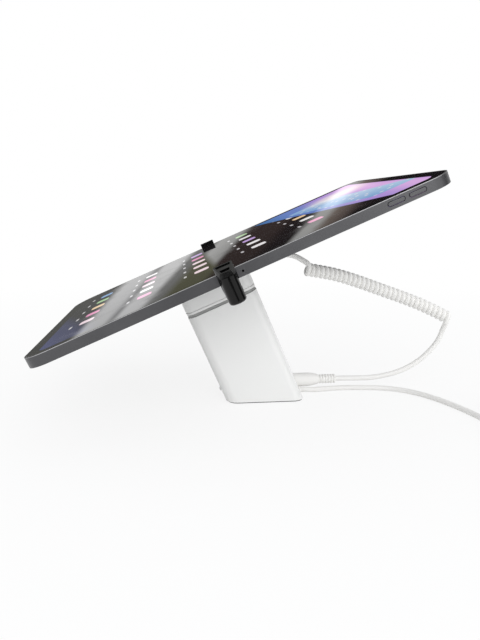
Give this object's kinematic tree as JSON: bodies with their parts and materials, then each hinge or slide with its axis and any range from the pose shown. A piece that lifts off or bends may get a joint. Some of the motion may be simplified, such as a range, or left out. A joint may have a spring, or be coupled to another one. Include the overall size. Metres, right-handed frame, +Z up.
{
  "type": "tablet security stand",
  "caption": "Leaning countertop column with a lift-off head on a curly tether, sliding claws that clamp a display tablet, a light ring, a contact dock and a put-away power cord.",
  "frame": {"origin": "middle of the foot's underside, on the counter", "axes": "+X towards the tablet's raised end, +Y across towards the far claw, +Z up"},
  "size_m": [0.3347, 0.2034, 0.1488],
  "materials": {
    "shell_white": "fine satin moulding",
    "steel": "zinc-plated, satin",
    "foot_rubber": "matt",
    "cord_jacket": "soft satin",
    "claw_black": "satin powder coat",
    "black_plastic": "matt",
    "circuit_board": "solder resist",
    "chip_black": "matt",
    "contact_gold": "gold-plated",
    "magnet_nickel": "nickel-plated",
    "ring_diffuser": "translucent, unlit",
    "lens_clear": "polished",
    "cell_sleeve": "shrink sleeve",
    "tablet_metal": "bead-blasted and anodised",
    "cover_glass": "polished",
    "display_panel": "lit screen",
    "battery_pouch": "foil pouch"
  },
  "bodies": {
    "base": {"base_shell": "shell_white", "base_plate": "steel", "base_pad": "foot_rubber", "plate_screws": "steel", "ballast": "steel", "ballast_screws": "steel", "alarm_board": "circuit_board", "board_chips": "chip_black", "board_screws": "steel", "siren": "black_plastic", "backup_cell": "cell_sleeve", "cell_clips": "black_plastic", "tether_socket": "black_plastic", "power_gland": "cord_jacket", "infrared_lens": "lens_clear", "dock_plate": "black_plastic", "dock_magnets": "magnet_nickel", "light_ring": "ring_diffuser", "tether_plug": "cord_jacket", "tether_lead_base": "cord_jacket", "tether_coil": "cord_jacket", "tether_lead_head": "cord_jacket", "power_cord": "cord_jacket", "power_coil": "cord_jacket", "coil_tie": "black_plastic", "power_tail": "cord_jacket", "power_plug": "cord_jacket", "power_plug_shell": "steel"},
    "contact_pins": {"contact_pins": "contact_gold"},
    "head": {"head_shell": "shell_white", "head_base": "shell_white", "head_screws": "steel", "head_pad": "foot_rubber", "head_board": "circuit_board", "contact_pads": "contact_gold", "head_magnets": "magnet_nickel", "arm_guide": "steel", "arm_lock_screws": "steel", "tether_gland": "cord_jacket", "tablet_frame": "tablet_metal", "tablet_glass": "cover_glass", "tablet_display": "display_panel", "tablet_battery": "battery_pouch", "tablet_board": "circuit_board", "rear_camera": "black_plastic"},
    "arm_near": {"arm_near": "steel", "claw_post_near": "claw_black", "claw_screw_near": "steel"},
    "hook_near": {"hook_near": "claw_black", "hook_pad_near": "foot_rubber"},
    "arm_far": {"arm_far": "steel", "claw_post_far": "claw_black", "claw_screw_far": "steel"},
    "hook_far": {"hook_far": "claw_black", "hook_pad_far": "foot_rubber"},
    "volume_up": {"volume_up": "tablet_metal"},
    "volume_down": {"volume_down": "tablet_metal"},
    "power_key": {"power_key": "tablet_metal"}
  },
  "joints": [
    {"name": "head_lift", "type": "slide", "parent": "base", "child": "head", "axis": [-0.3955, 0, 0.9184], "range_m": [0, 0.04], "deforming": ["tether_lead_head", "tether_coil", "tether_lead_base"]},
    {"name": "contact_press", "type": "slide", "parent": "base", "child": "contact_pins", "axis": [0.3955, 0, -0.9184], "range_m": [0, 0.0007], "stiffness_N_per_m": 200},
    {"name": "near_arm_slide", "type": "slide", "parent": "head", "child": "arm_near", "axis": [0, -1, 0], "range_m": [0, 0.01]},
    {"name": "near_hook_lift", "type": "slide", "parent": "arm_near", "child": "hook_near", "axis": [-0.3955, 0, 0.9184], "range_m": [0, 0.003]},
    {"name": "far_arm_slide", "type": "slide", "parent": "head", "child": "arm_far", "axis": [0, 1, 0], "range_m": [0, 0.01]},
    {"name": "far_hook_lift", "type": "slide", "parent": "arm_far", "child": "hook_far", "axis": [-0.3955, 0, 0.9184], "range_m": [0, 0.003]},
    {"name": "volume_up_press", "type": "slide", "parent": "head", "child": "volume_up", "axis": [0, 1, 0], "range_m": [0, 0.00035], "stiffness_N_per_m": 600},
    {"name": "volume_down_press", "type": "slide", "parent": "head", "child": "volume_down", "axis": [0, 1, 0], "range_m": [0, 0.00035], "stiffness_N_per_m": 600},
    {"name": "power_key_press", "type": "slide", "parent": "head", "child": "power_key", "axis": [-0.9184, 0, -0.3955], "range_m": [0, 0.00035], "stiffness_N_per_m": 600}
  ]
}
